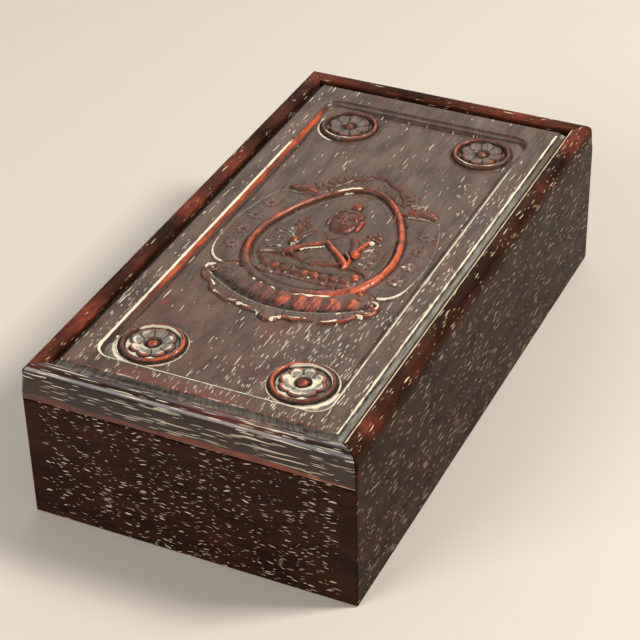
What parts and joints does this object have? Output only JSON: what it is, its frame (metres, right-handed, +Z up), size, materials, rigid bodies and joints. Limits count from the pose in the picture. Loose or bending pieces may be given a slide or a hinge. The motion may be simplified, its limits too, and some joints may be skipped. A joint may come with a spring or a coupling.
{
  "type": "sliding-lid box",
  "caption": "Low rectangular hardwood box with mitred corners and a relief-carved lid that slides out at one short end together with the bar that closes that end.",
  "frame": {"origin": "middle of the underside, on the surface the box stands on", "axes": "+X across the box, +Y along it towards the closed end, +Z up; the lid slides out towards -Y"},
  "size_m": [0.15, 0.28, 0.076],
  "materials": {
    "board_wood": "satin",
    "lid_wood": "satin",
    "inside_wood": "matte"
  },
  "bodies": {
    "case": {"left_side": "board_wood", "right_side": "board_wood", "back_end": "board_wood", "front_end": "board_wood", "bottom_panel": "inside_wood", "spline_front_left": "inside_wood", "spline_front_right": "inside_wood", "spline_back_left": "inside_wood", "spline_back_right": "inside_wood"},
    "lid": {"lid_panel": "lid_wood", "lid_front_bar": "board_wood"}
  },
  "joints": [
    {"name": "lid_slide", "type": "slide", "parent": "case", "child": "lid", "axis": [0, -1, 0], "range_m": [0, 0.28]}
  ]
}
